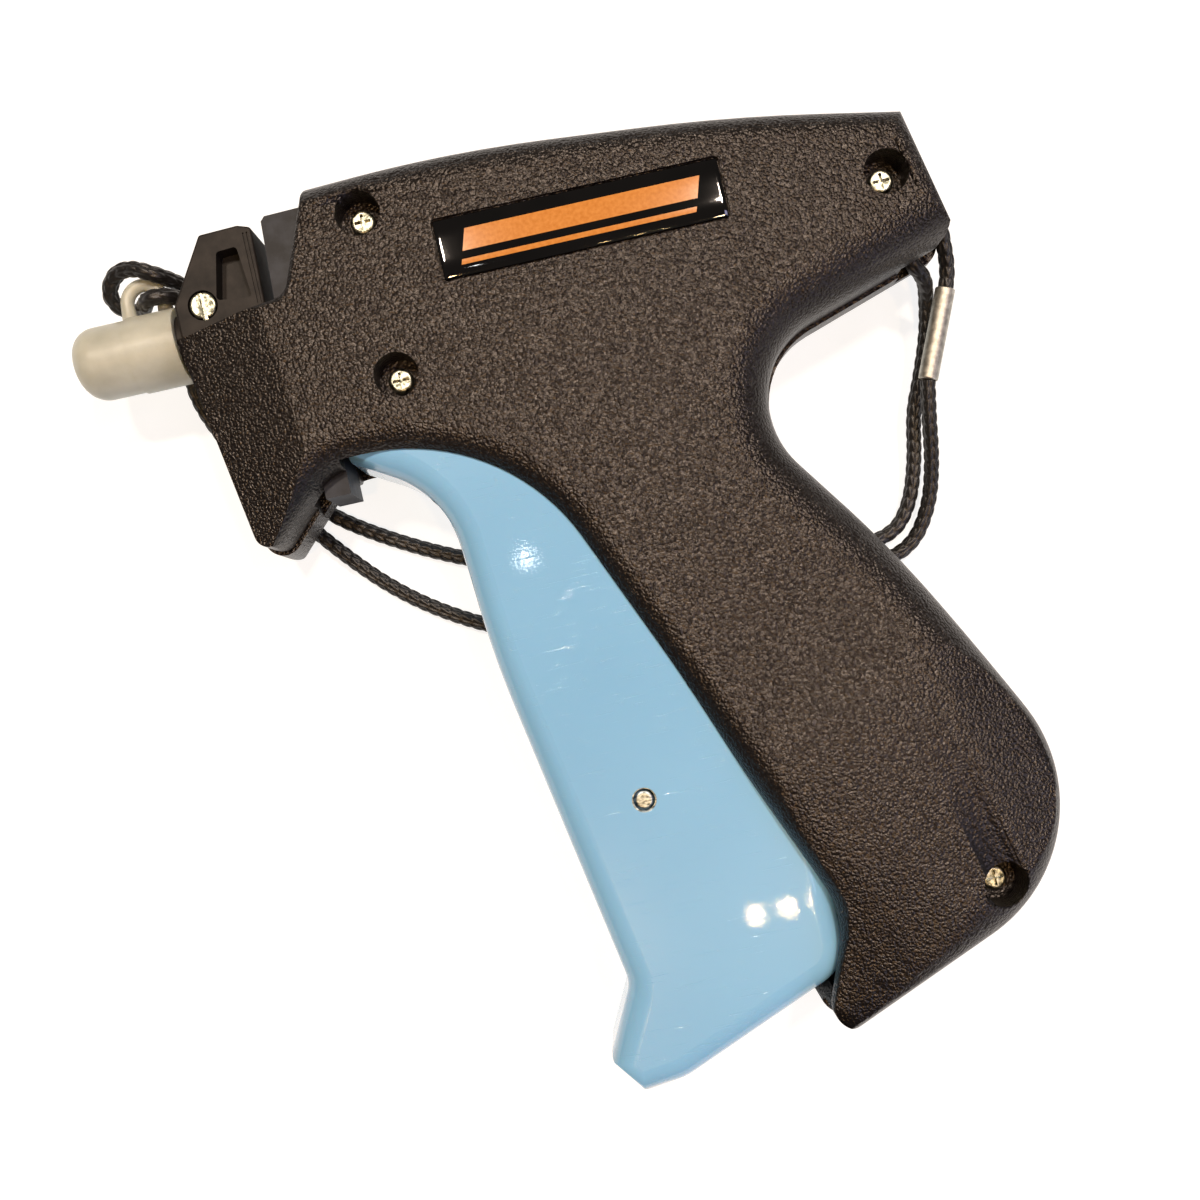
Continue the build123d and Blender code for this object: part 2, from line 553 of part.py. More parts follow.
def cutter_blade():
    """The small blade beside the feed slot."""
    return plate([(14.0, -6.5), (14.4, -6.5), (14.4, -1.6), (14.0, -1.2)], -2.4, 2.4)


def feed_wheel():
    """A ratchet wheel whose teeth reach into the feed slot."""
    x, y = WHEEL_AXIS
    root_r = WHEEL_R - 1.3
    pitch = 360 / WHEEL_TEETH
    points = []
    for i in range(WHEEL_TEETH):
        for r, shift in ((root_r, 0.0), (WHEEL_R, 0.62), (WHEEL_R, 0.74), (root_r, 0.86)):
            a = math.radians(pitch * (i + shift))
            points.append((x + r * math.cos(a), y + r * math.sin(a)))
    return plate(points, -WHEEL_HALF, WHEEL_HALF) - pin(WHEEL_AXIS, AXLE_R + RUN, -WHEEL_HALF, WHEEL_HALF)


def feed_pawl():
    """The leaf on the trigger that turns the feed wheel as the trigger comes back."""
    inner = -(TRIGGER_HALF - TRIGGER_WALL)
    foot = plate([(29.4, -9.9), (31.4, -8.9), (31.4, -7.9), (29.4, -7.9)], inner, inner + 0.8)
    return foot + block(30.4, 31.2, -9.6, -7.9, inner, 1.4)


def retaining_pawl():
    """The leaf on the clip guide that keeps the feed wheel from turning back."""
    return plate([(26.0, -16.8), (26.5, -16.8), (27.3, -14.6), (26.9, -14.5), (26.0, -16.2)], -1.4, 1.4)


# ---------------------------------------------------------------- the lanyard
def route_radii():
    """The bend at each inner point of the route, as large as its two runs allow."""
    radii = []
    for a, b, c in zip(ROUTE, ROUTE[1:], ROUTE[2:]):
        into, out = Vector(*b) - Vector(*a), Vector(*c) - Vector(*b)
        turn = math.radians(into.get_angle(out))
        radii.append(0.45 * min(into.length, out.length) / math.tan(turn / 2))
    return radii


def cord(first, last):
    """A stretch of the lanyard between the middles of two runs, or an end of the route."""
    points = [Vector(*p) - Vector(0, 0, GRIP_HALF) for p in ROUTE]
    start = 0 if first is None else first + 1
    stop = len(ROUTE) if last is None else last + 1
    radii = route_radii()
    line = points[start:stop]
    bends = radii[max(start - 1, 0):stop - 1]
    if first is not None:
        line = [(points[first] + points[first + 1]) / 2] + line
    if last is not None:
        line = line + [(points[last] + points[last + 1]) / 2]
    path = FilletPolyline(*line, radius=bends[:len(line) - 2])
    tube = sweep(Plane(path @ 0, z_dir=path % 0) * Circle(CORD_R), path)
    print(f"cord {path.length:.1f} mm, volume {tube.volume:.1f}, section by length "
          f"{math.pi * CORD_R ** 2 * path.length:.1f}")
    return tube


def ferrule():
    """The metal tube that the cord's ends meet in."""
    bottom = Vector(*ROUTE[0]) - Vector(0, 0, GRIP_HALF)
    top = Vector(*ROUTE[-1]) - Vector(0, 0, GRIP_HALF)
    plane = Plane(origin=bottom, z_dir=top - bottom)
    body = plane * Cylinder(FERRULE_R, (top - bottom).length, align=(Align.CENTER, Align.CENTER, Align.MIN))
    return fillet(body.edges(), 0.25)


# ---------------------------------------------------------------- all pieces
PIECES = {
    "housing_left": housing_left(),
    "housing_right": housing_right(),
    "housing_screws": sum((screw(point) for point in SCREWS), Part()),
    "badge": badge(),
    "trigger": trigger(),
    "trigger_pin": trigger_pin(),
    "drive_lever": drive_lever(),
    "lever_pivot_pin": pin(LEVER_AXIS, LEVER_PIN_R, -BODY_HALF + 0.6, BODY_HALF - 0.6),
    "lever_top_pin": pin(TOP_PIN, TOP_PIN_R, -SLIDER_HALF, SLIDER_HALF),
    "slider": slider(),
    "ejector_rod": ejector_rod(),
    "return_spring": return_spring(),
    "needle": needle(),
    "needle_hub": needle_hub(),
    "needle_block": needle_block(),
    "needle_lock_screw": needle_lock_screw(),
    "needle_cap": needle_cap(),
    "clip_guide": clip_guide(),
    "cutter_blade": cutter_blade(),
    "feed_wheel": feed_wheel(),
    "feed_wheel_axle": pin(WHEEL_AXIS, AXLE_R, -BODY_HALF + 0.8, BODY_HALF - 0.8),
    "feed_pawl": feed_pawl(),
    "retaining_pawl": retaining_pawl(),
    "lanyard_front": cord(None, BIGHT[0]),
    "lanyard_bight": cord(*BIGHT),
    "lanyard_rear": cord(BIGHT[1], None),
    "lanyard_ferrule": ferrule(),
}

boxes = [piece.bounding_box() for name, piece in PIECES.items() if not name.startswith("lanyard")]
low_x, high_x = min(b.min.X for b in boxes), max(b.max.X for b in boxes)
low_y, high_y = min(b.min.Y for b in boxes), max(b.max.Y for b in boxes)
LYING = Pos(-(low_x + high_x) / 2, -(low_y + high_y) / 2, GRIP_HALF)
print("bend radii", [round(r, 1) for r in route_radii()])
print("laid down by", LYING.position)
print("stroke", round(STROKE, 3), "swing", round(SWING, 2), "rest", round(REST, 2))

os.makedirs("parts", exist_ok=True)
for name, piece in PIECES.items():
    export_step(LYING * piece, f"parts/{name}.step")
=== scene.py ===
"""Looks of the garment tag attacher: moulded grain, gloss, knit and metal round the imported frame.

Lengths are in metres unless a name ends in _MM. The tool lies on its right side on the floor at z = 0.
"""
import math
import bpy
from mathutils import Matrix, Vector


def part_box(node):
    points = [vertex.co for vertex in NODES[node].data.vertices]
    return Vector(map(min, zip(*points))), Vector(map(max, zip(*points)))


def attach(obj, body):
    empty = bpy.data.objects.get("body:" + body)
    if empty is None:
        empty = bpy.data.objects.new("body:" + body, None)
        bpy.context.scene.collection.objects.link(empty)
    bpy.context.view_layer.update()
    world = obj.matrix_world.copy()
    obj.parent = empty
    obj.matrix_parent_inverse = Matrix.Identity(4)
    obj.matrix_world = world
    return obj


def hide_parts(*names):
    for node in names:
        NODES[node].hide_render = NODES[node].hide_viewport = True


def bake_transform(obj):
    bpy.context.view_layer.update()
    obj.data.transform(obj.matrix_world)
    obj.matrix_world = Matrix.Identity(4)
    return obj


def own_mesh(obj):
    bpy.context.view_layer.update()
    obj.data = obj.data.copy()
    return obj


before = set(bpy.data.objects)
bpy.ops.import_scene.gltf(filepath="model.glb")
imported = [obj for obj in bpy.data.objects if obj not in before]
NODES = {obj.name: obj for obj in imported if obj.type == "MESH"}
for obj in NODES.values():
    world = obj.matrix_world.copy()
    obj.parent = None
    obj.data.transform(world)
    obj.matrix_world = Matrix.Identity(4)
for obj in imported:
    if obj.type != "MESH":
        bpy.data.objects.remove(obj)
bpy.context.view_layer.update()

MM = 0.001

# The tool's own axes (X back from the nose, Y up from the needle, Z over the floor), laid down in the frame.
LYING_MM = (-51.9302, 57.6564)


def place(x, y, z):
    """A point of the tool's axes, given in mm, in the frame."""
    return Vector(((x + LYING_MM[0]) * MM, (y + LYING_MM[1]) * MM, z * MM))


# ---------------------------------------------------------------- colours and nodes
VECTOR_A, VECTOR_B, VECTOR_RESULT = 4, 5, 1  # a Mix node's sockets for vectors


def colour(code):
    """An sRGB hex colour as linear RGBA."""
    channels = [int(code[i:i + 2], 16) / 255 for i in (1, 3, 5)]
    linear = [c / 12.92 if c <= 0.04045 else ((c + 0.055) / 1.055) ** 2.4 for c in channels]
    return (*linear, 1.0)


def connect(tree, node, inputs):
    """Gives a node its inputs, each as a value or as a link from another socket."""
    for key, value in dict(inputs).items():
        if isinstance(value, bpy.types.NodeSocket):
            tree.links.new(value, node.inputs[key])
        else:
            node.inputs[key].default_value = value


def add(tree, kind, inputs=(), **settings):
    """A new node with its settings and inputs."""
    node = tree.nodes.new(kind)
    for name, value in settings.items():
        setattr(node, name, value)
    connect(tree, node, inputs)
    return node


def ramp(tree, factor, stops):
    """A colour ramp from (position, hex colour) stops."""
    node = add(tree, "ShaderNodeValToRGB", {"Fac": factor})
    elements = node.color_ramp.elements
    while len(elements) < len(stops):
        elements.new(0.5)
    for element, (position, code) in zip(elements, stops):
        element.position = position
        element.color = colour(code)
    return node.outputs["Color"]


def blank(name):
    """A new material, its tree, its shader and its object coordinates."""
    material = bpy.data.materials.new(name)
    material.use_nodes = True
    tree = material.node_tree
    where = add(tree, "ShaderNodeTexCoord").outputs["Object"]
    return material, tree, tree.nodes["Principled BSDF"], where


def per_mm(size_mm):
    """Texture scale that makes one cell of the pattern this large."""
    return 1.0 / (size_mm * MM)


# ---------------------------------------------------------------- materials
def grained_abs():
    """ABS moulded in an etched tool: a leathery grain, its tops catching glints on a soft dark sheen, warmed by a
    painted tint.
    """
    material, tree, shader, where = blank("grained_abs_moulding")
    wander = 0.0006  # share of the noise in the coordinates: the cells stray by up to 0.6 mm
    warp = add(tree, "ShaderNodeTexNoise", {"Vector": where, "Scale": per_mm(0.8), "Detail": 2.0})
    bent = add(tree, "ShaderNodeMix", {"Factor": wander, VECTOR_A: where, VECTOR_B: warp.outputs["Color"]},
               data_type="VECTOR")
    # The real bumps are about 0.3 mm apart, too fine to show in the render: they are drawn as coarse as they
    # need to be, 0.46 mm apart.
    cells = add(tree, "ShaderNodeTexVoronoi", {"Vector": bent.outputs[VECTOR_RESULT], "Scale": per_mm(0.46)},
                feature="SMOOTH_F1")
    connect(tree, cells, {"Smoothness": 0.25})
    grit = add(tree, "ShaderNodeTexNoise", {"Vector": where, "Scale": per_mm(0.3), "Detail": 2.0})
    part = add(tree, "ShaderNodeMath", {0: grit.outputs["Fac"], 1: 0.3}, operation="MULTIPLY")
    height = add(tree, "ShaderNodeMath", {0: cells.outputs["Distance"], 1: part.outputs[0]}, operation="ADD")
    bump = add(tree, "ShaderNodeBump", {"Height": height.outputs[0], "Strength": 1.0, "Distance": 0.17 * MM},
               invert=True)
    patches = add(tree, "ShaderNodeTexNoise", {"Vector": where, "Scale": per_mm(22), "Detail": 4.0})
    rough = add(tree, "ShaderNodeMapRange", {"Value": grit.outputs["Fac"], "To Min": 0.26, "To Max": 0.38})
    # The Specular Tint is painted light: a warm tint on the reflections, standing in for warm light.
    connect(tree, shader, {
        "Base Color": ramp(tree, patches.outputs["Fac"], [(0.3, "#0b0808"), (0.7, "#110e0d")]),
        "Roughness": rough.outputs[0], "Normal": bump.outputs[0],
        "IOR": 1.54, "Specular IOR Level": 0.36, "Specular Tint": colour("#fff4ec")})
    return material


def gloss_abs():
    """ABS moulded in a polished tool: sky blue gloss, with hairline scratches from use."""
    material, tree, shader, where = blank("sky_blue_gloss_abs")
    clouds = add(tree, "ShaderNodeTexNoise", {"Vector": where, "Scale": per_mm(45), "Detail": 2.0})
    height = None
    # Real hairlines are about 0.03 mm wide, too fine to show in the render: these are 7 mm long and 0.2 to 0.3 mm
    # wide, in two directions of wear.
    for turn, stretch in ((0.7, 30.0), (2.2, 24.0)):
        lay = add(tree, "ShaderNodeMapping",
                  {"Vector": where, "Rotation": (0.0, 0.0, turn), "Scale": (1.0, stretch, 1.0)})
        hair = add(tree, "ShaderNodeTexNoise", {"Vector": lay.outputs[0], "Scale": per_mm(7.0), "Detail": 5.0})
        cut = add(tree, "ShaderNodeMapRange", {"Value": hair.outputs["Fac"], "From Min": 0.66, "From Max": 0.72})
        height = cut.outputs[0] if height is None else add(
            tree, "ShaderNodeMath", {0: height, 1: cut.outputs[0]}, operation="MAXIMUM").outputs[0]
    swell = add(tree, "ShaderNodeTexNoise", {"Vector": where, "Scale": per_mm(9), "Detail": 1.0})
    peel = add(tree, "ShaderNodeTexNoise", {"Vector": where, "Scale": per_mm(0.5), "Detail": 2.0})
    skin = add(tree, "ShaderNodeBump", {"Height": peel.outputs["Fac"], "Strength": 0.05, "Distance": 0.06 * MM})
    scratch = add(tree, "ShaderNodeBump", {"Height": height, "Normal": skin.outputs[0], "Strength": 0.4,
                                           "Distance": 0.06 * MM}, invert=True)
    bump = add(tree, "ShaderNodeBump", {"Height": swell.outputs["Fac"], "Normal": scratch.outputs[0],
                                        "Strength": 0.04, "Distance": 0.3 * MM})
    rough = add(tree, "ShaderNodeMapRange", {"Value": height, "To Min": 0.22, "To Max": 0.34})
    connect(tree, shader, {
        "Base Color": ramp(tree, clouds.outputs["Fac"], [(0.3, "#79add3"), (0.7, "#81b5da")]),
        "Roughness": rough.outputs[0], "Normal": bump.outputs[0], "Coat Normal": bump.outputs[0],
        "IOR": 1.5, "Specular IOR Level": 0.14, "Coat Weight": 0.9, "Coat Roughness": 0.02,
        "Subsurface Weight": 0.08, "Subsurface Scale": 2.0 * MM})
    return material


def smooth_moulding(name, dark, light, low, high):
    """Nylon or acetal moulded in a plain tool: a dull sheen, shinier and paler in rubbed places."""
    material, tree, shader, where = blank(name)
    rubbed = add(tree, "ShaderNodeTexNoise",
                 {"Vector": where, "Scale": per_mm(3.5), "Detail": 6.0, "Roughness": 0.65})
    # The skin's real texture is about 0.1 mm wide, too fine to show in the render: it is drawn 0.35 mm wide.
    fine = add(tree, "ShaderNodeTexNoise", {"Vector": where, "Scale": per_mm(0.35), "Detail": 2.0})
    rough = add(tree, "ShaderNodeMapRange", {"Value": rubbed.outputs["Fac"], "To Min": high, "To Max": low})
    bump = add(tree, "ShaderNodeBump", {"Height": fine.outputs["Fac"], "Strength": 0.12, "Distance": 0.08 * MM})
    connect(tree, shader, {
        "Base Color": ramp(tree, rubbed.outputs["Fac"], [(0.35, dark), (0.62, light)]),
        "Roughness": rough.outputs[0], "Normal": bump.outputs[0],
        "IOR": 1.53, "Specular IOR Level": 0.26})
    return material


def metal(name, dark, light, low, high, stretch, grain_mm, depth):
    """A metal with drawn, ground or plated grain, which spreads and mottles its reflections.

    The real grain is under 0.1 mm wide, too fine to show in the render: it is drawn grain_mm wide.
    """
    material, tree, shader, where = blank(name)
    lay = add(tree, "ShaderNodeMapping", {"Vector": where, "Scale": stretch})
    grain = add(tree, "ShaderNodeTexNoise", {"Vector": lay.outputs[0], "Scale": per_mm(grain_mm), "Detail": 3.0})
    rough = add(tree, "ShaderNodeMapRange", {"Value": grain.outputs["Fac"], "To Min": low, "To Max": high})
    bump = add(tree, "ShaderNodeBump", {"Height": grain.outputs["Fac"], "Strength": depth, "Distance": 0.1 * MM})
    connect(tree, shader, {
        "Base Color": ramp(tree, grain.outputs["Fac"], [(0.36, dark), (0.64, light)]),
        "Metallic": 1.0, "Roughness": rough.outputs[0], "Normal": bump.outputs[0]})
    return material


def milky_polythene():
    """Low density polythene, moulded: cloudy, light passes into it and comes out warm."""
    material, tree, shader, where = blank("milky_polythene_moulding")
    clouds = add(tree, "ShaderNodeTexNoise", {"Vector": where, "Scale": per_mm(5.5), "Detail": 4.0})
    fine = add(tree, "ShaderNodeTexNoise", {"Vector": where, "Scale": per_mm(0.8), "Detail": 3.0})
    bump = add(tree, "ShaderNodeBump", {"Height": fine.outputs["Fac"], "Strength": 0.18, "Distance": 0.1 * MM})
    connect(tree, shader, {
        "Base Color": ramp(tree, clouds.outputs["Fac"], [(0.3, "#a5a79c"), (0.7, "#b9bcb1")]),
        "Roughness": 0.38, "Normal": bump.outputs[0], "IOR": 1.51,
        "Subsurface Weight": 0.9, "Subsurface Radius": (1.0, 0.92, 0.8), "Subsurface Scale": 2.4 * MM})
    return material


def black_polyester():
    """Knitted polyester cord: matt black yarn with a faint shine along its filaments."""
    material, tree, shader, where = blank("black_knitted_polyester")
    # A filament is about 0.02 mm, too fine to show in the render: its mottle is drawn 0.22 mm wide.
    yarn = add(tree, "ShaderNodeTexNoise", {"Vector": where, "Scale": per_mm(0.22), "Detail": 3.0})
    bump = add(tree, "ShaderNodeBump", {"Height": yarn.outputs["Fac"], "Strength": 0.5, "Distance": 0.08 * MM})
    connect(tree, shader, {
        "Base Color": ramp(tree, yarn.outputs["Fac"], [(0.35, "#040303"), (0.7, "#0e0c0c")]),
        "Roughness": 0.44, "Normal": bump.outputs[0], "Sheen Weight": 0.08, "Sheen Roughness": 0.5})
    return material


def resin_dome():
    """Clear resin poured over a black print: a deep gloss with a slow swell."""
    material, tree, shader, where = blank("black_resin_dome")
    swell = add(tree, "ShaderNodeTexNoise", {"Vector": where, "Scale": per_mm(8), "Detail": 2.0})
    bump = add(tree, "ShaderNodeBump", {"Height": swell.outputs["Fac"], "Strength": 0.06, "Distance": 0.4 * MM})
    connect(tree, shader, {
        "Base Color": ramp(tree, swell.outputs["Fac"], [(0.3, "#050505"), (0.7, "#0b0a0a")]),
        "Roughness": 0.04, "Normal": bump.outputs[0], "Coat Weight": 1.0, "Coat Roughness": 0.03})
    return material


def orange_ink():
    """Screen-printed orange ink under the resin: a faint mottle of the mesh."""
    material, tree, shader, where = blank("orange_screen_print")
    # The threads of the screen are about 0.1 mm apart, too fine to show: their mottle is drawn 0.6 mm wide.
    mottle = add(tree, "ShaderNodeTexNoise", {"Vector": where, "Scale": per_mm(0.6), "Detail": 3.0})
    connect(tree, shader, {
        "Base Color": ramp(tree, mottle.outputs["Fac"], [(0.3, "#b87224"), (0.7, "#c88438")]),
        "Roughness": 0.14, "Coat Weight": 1.0, "Coat Roughness": 0.03})
    return material


def opal_acrylic():
    """Opal acrylic sheet of a light table, lit from below, which lifts the shadows."""
    material, tree, shader, where = blank("opal_acrylic_sheet")
    cloud = add(tree, "ShaderNodeTexNoise", {"Vector": where, "Scale": per_mm(4), "Detail": 3.0})
    connect(tree, shader, {
        "Base Color": ramp(tree, cloud.outputs["Fac"], [(0.3, "#929190"), (0.7, "#999896")]),
        "Emission Color": colour("#fcfbf9"), "Emission Strength": 0.85, "Roughness": 0.9})
    return material


EVEN = (1.0, 1.0, 1.0)  # grain the same each way
GROUND = (1.0, 2.0, 1.0)  # grain drawn out by the wheel

HOUSING = grained_abs()
BLUE = gloss_abs()
# Dyed nylon, moulded: brownish black and dull.
BLOCK = smooth_moulding("dark_nylon_moulding", "#100d0b", "#1e1915", 0.5, 0.68)
# Nylon with a cooler dye, moulded: blue-black, with a little more sheen.
GUIDE = smooth_moulding("blue_black_nylon_moulding", "#0a0d14", "#161c28", 0.42, 0.6)
# Undyed acetal, moulded: creamy white and waxy.
ACETAL = smooth_moulding("natural_acetal_moulding", "#cfcabf", "#dedacf", 0.3, 0.45)
# Steel plated with zinc: greenish grey, its glints broken up by the plating.
ZINC = metal("zinc_plated_steel", "#3c3d35", "#a9aa9a", 0.22, 0.45, EVEN, 0.8, 0.7)
# Ground steel: cool grey, its reflections drawn out along the grind.
STEEL = metal("ground_steel", "#444a49", "#abb5b6", 0.22, 0.45, GROUND, 0.8, 0.5)
# Drawn aluminium: pale and satin.
ALUMINIUM = metal("drawn_aluminium_tube", "#a09e95", "#c8c6bc", 0.46, 0.62, EVEN, 0.9, 0.2)
CAP = milky_polythene()
CORD = black_polyester()
RESIN = resin_dome()
INK = orange_ink()

FINISHES = {
    "housing_left": HOUSING, "housing_right": HOUSING, "housing_screws": ZINC, "badge": RESIN, "trigger": BLUE,
    "trigger_pin": STEEL, "drive_lever": STEEL, "lever_pivot_pin": STEEL, "lever_top_pin": STEEL,
    "slider": ACETAL, "ejector_rod": STEEL, "return_spring": STEEL, "needle": STEEL, "needle_hub": BLOCK,
    "needle_block": BLOCK, "needle_lock_screw": ZINC, "needle_cap": CAP, "clip_guide": GUIDE,
    "cutter_blade": STEEL, "feed_wheel": ACETAL, "feed_wheel_axle": STEEL, "feed_pawl": STEEL,
    "retaining_pawl": STEEL, "lanyard_front": CORD, "lanyard_bight": CORD, "lanyard_rear": CORD,
    "lanyard_ferrule": ALUMINIUM,
}
CREASE = math.radians(28)  # edges that turn by more stay sharp
SAME_POINT = 1e-6  # facet corners closer than this are one


# ---------------------------------------------------------------- meshes
def finish_node(name, material):
    """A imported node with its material, its facets shaded as the flat and round faces that they stand for."""
    node = NODES[name]
    node.data.materials.clear()
    node.data.materials.append(material)
    weld = node.modifiers.new("weld", "WELD")
    weld.merge_threshold = SAME_POINT
    bpy.context.view_layer.objects.active = node
    node.select_set(True)
    bpy.ops.object.shade_auto_smooth(angle=CREASE)
    node.select_set(False)
    node.modifiers[-1].use_pin_to_last = False
    flatten = node.modifiers.new("flatten", "WEIGHTED_NORMAL")
    flatten.keep_sharp = True


def mesh_piece(name, points, faces, material, smooth=True):
    """A new piece from points and faces."""
    mesh = bpy.data.meshes.new(name)
    mesh.from_pydata([tuple(p) for p in points], [], faces)
    mesh.validate()
    mesh.polygons.foreach_set("use_smooth", [smooth] * len(mesh.polygons))
    piece = bpy.data.objects.new(name, mesh)
    bpy.context.scene.collection.objects.link(piece)
    mesh.materials.append(material)
    return piece


def tube_faces(rings, around):
    """Faces of a closed tube whose points come ring by ring."""
    faces = []
    for i in range(rings - 1):
        for k in range(around):
            a, b = i * around + k, i * around + (k + 1) % around
            faces.append((a, b, b + around, a + around))
    last = (rings - 1) * around
    return faces + [tuple(range(around))[::-1], tuple(range(last, last + around))]


def sheet(columns, rows, spot):
    """Points and faces of a sheet, row by row, where spot gives the point for x and y between -1 and 1."""
    wide = columns + 1
    points = [spot(2 * i / columns - 1, 2 * j / rows - 1) for j in range(rows + 1) for i in range(wide)]
    faces = [(a, a + 1, a + 1 + wide, a + wide) for j in range(rows) for a in range(j * wide, j * wide + columns)]
    return points, faces


# ---------------------------------------------------------------- the lanyard, as in the model
ROUTE_MM = [
    (117.4, -31.4, 9.6), (116.6, -36.7, 8.6), (116.2, -44.3, 5.8), (114.6, -51.8, 3.4), (110.3, -58.2, 1.7),
    (102.0, -59.6, 1.38), (91.0, -61.3, 1.38), (75.0, -61.0, 1.4), (58.0, -60.6, 1.4), (45.0, -58.9, 1.4),
    (33.5, -54.2, 1.4), (22.0, -46.4, 1.4), (12.5, -36.1, 1.4), (5.0, -25.8, 1.5), (-1.2, -15.3, 2.6),
    (-4.6, -6.2, 5.0), (-3.9, 0.6, 6.0), (-1.5, 5.8, 7.0), (-0.6, 7.6, 12.4), (-1.2, 7.6, 17.4),
    (-5.2, 7.7, 18.2), (-7.9, 8.1, 11.2), (-11.3, 8.8, 10.9), (-12.6, 11.2, 13.4), (-10.3, 13.7, 15.2),
    (-6.9, 13.6, 16.8), (-3.4, 11.6, 17.6), (-0.9, 10.8, 13.6), (0.0, 10.3, 9.3), (1.9, 8.9, 5.4),
    (2.9, 3.6, 4.4), (2.9, -3.6, 3.7), (2.9, -11.5, 2.4), (5.4, -20.4, 1.5), (11.9, -29.5, 1.4),
    (21.6, -36.3, 1.4), (33.5, -42.6, 1.4), (48.0, -48.0, 1.4), (65.0, -52.3, 1.4), (82.0, -54.6, 1.4),
    (97.0, -56.0, 1.4), (107.4, -55.4, 1.5), (111.5, -51.0, 2.2), (113.9, -43.4, 3.4), (115.0, -35.6, 4.8),
    (117.1, -30.6, 5.6), (119.8, -23.2, 6.4), (120.6, -17.6, 8.0), (119.8, -15.2, 12.4), (117.2, -12.6, 14.6),
    (116.4, -5.1, 14.5), (123.4, -4.9, 14.5), (123.7, -9.6, 13.8), (124.2, -15.0, 11.1), (123.2, -17.4, 10.9),
]
CORD_D_MM = 2.7
STITCH_MM = 2.0  # one V of the knitted cover
WALES = 5  # columns of Vs round the cord
KNIT_DEPTH = 0.2  # how deep the knit goes, as a share of the cord's radius
LEG_LEAN = 0.62  # how far the legs of a V run back, in stitches
LEG_FULLNESS = 0.6  # under 1, the legs are rounder than a sine
GROOVE_POWER = 6  # the higher, the narrower the groove between two columns
FLANK = 0.72  # height beside a column's groove, as a share of the legs' crown
CROWN_SHIFT = 0.1  # moves the crown in from half way between spine and groove
RING_STEP_MM = 0.17
RING_POINTS = 42


def route_curve():
    """The lanyard's middle line as one smooth spline through its route."""
    curve = bpy.data.curves.new("lanyard_line", "CURVE")
    curve.dimensions = "3D"
    curve.resolution_u = 24
    spline = curve.splines.new("NURBS")
    spline.points.add(len(ROUTE_MM) - 1)
    for point, spot in zip(spline.points, ROUTE_MM):
        point.co = (*place(*spot), 1.0)
    spline.order_u = 3
    spline.use_endpoint_u = True
    holder = bpy.data.objects.new("lanyard_line", curve)
    bpy.context.scene.collection.objects.link(holder)
    bpy.context.view_layer.update()
    mesh = bpy.data.meshes.new_from_object(holder)
    line = [v.co.copy() for v in mesh.vertices]
    bpy.data.objects.remove(holder)
    bpy.data.meshes.remove(mesh)
    return line


def evenly(line, step):
    """Points at equal steps along a line of many short runs."""
    spots, left = [line[0]], step
    for a, b in zip(line, line[1:]):
        run = (b - a).length
        while run >= left:
            a = a + (b - a) * (left / run)
            run -= left
            spots.append(a)
            left = step
        left -= run
    return spots


def knit(turn, along):
    """Height of the knitted cover, 0 to 1, at a turn round the cord and a distance along it in mm."""
    column = turn / (2 * math.pi) * WALES
    across = 2 * (column - math.floor(column)) - 1
    stitch = along / STITCH_MM + LEG_LEAN * abs(across)
    leg = abs(math.sin(math.pi * stitch)) ** LEG_FULLNESS
    crown = math.sin(math.pi * min(abs(across) + CROWN_SHIFT, 1.0))
    return leg * (1 - across ** GROOVE_POWER) * (FLANK + (1 - FLANK) * crown)


def lanyard():
    """The cord, as a tube whose surface is the knitted cover's V stitches."""
    line = route_curve()
    rings = evenly(line, RING_STEP_MM * MM)
    radius = CORD_D_MM / 2 * MM
    points = []
    side = Vector((0, 0, 1))
    for i, spot in enumerate(rings):
        ahead = (rings[min(i + 1, len(rings) - 1)] - rings[max(i - 1, 0)]).normalized()
        side = (side - ahead * side.dot(ahead)).normalized()
        up = ahead.cross(side)
        for k in range(RING_POINTS):
            turn = 2 * math.pi * k / RING_POINTS
            r = radius * (1 - KNIT_DEPTH + KNIT_DEPTH * knit(turn, i * RING_STEP_MM))
            points.append(spot + side * (r * math.cos(turn)) + up * (r * math.sin(turn)))
    piece = mesh_piece("lanyard_cord", points, tube_faces(len(rings), RING_POINTS), CORD)
    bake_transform(piece)
    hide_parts("lanyard_front", "lanyard_bight", "lanyard_rear")


# ---------------------------------------------------------------- the spring
SPRING_TURNS = 9
SPRING_WIRE_MM = 0.8
SPRING_STEPS, SPRING_AROUND = 324, 10  # rings along the wire, points round it


def return_spring():
    """The rod's coil spring, at one fixed length; the real one closes up on its seat as the slider comes forward.
    """
    low, high = (Vector(corner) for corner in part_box("return_spring"))
    axis = (low + high) / 2
    wire = SPRING_WIRE_MM / 2 * MM
    coil = (high.y - low.y) / 2 - wire
    length = high.x - low.x - 2 * wire
    points = []
    for i in range(SPRING_STEPS + 1):
        turn = 2 * math.pi * SPRING_TURNS * i / SPRING_STEPS
        out = Vector((0, math.cos(turn), math.sin(turn)))
        middle = Vector((low.x + wire + length * i / SPRING_STEPS, axis.y, axis.z)) + out * coil
        for k in range(SPRING_AROUND):
            bend = 2 * math.pi * k / SPRING_AROUND
            points.append(middle + out * (wire * math.cos(bend)) + Vector((wire * math.sin(bend), 0, 0)))
    piece = mesh_piece("spring_coil", points, tube_faces(SPRING_STEPS + 1, SPRING_AROUND), STEEL)
    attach(piece, "body")
    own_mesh(piece)
    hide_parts("return_spring")


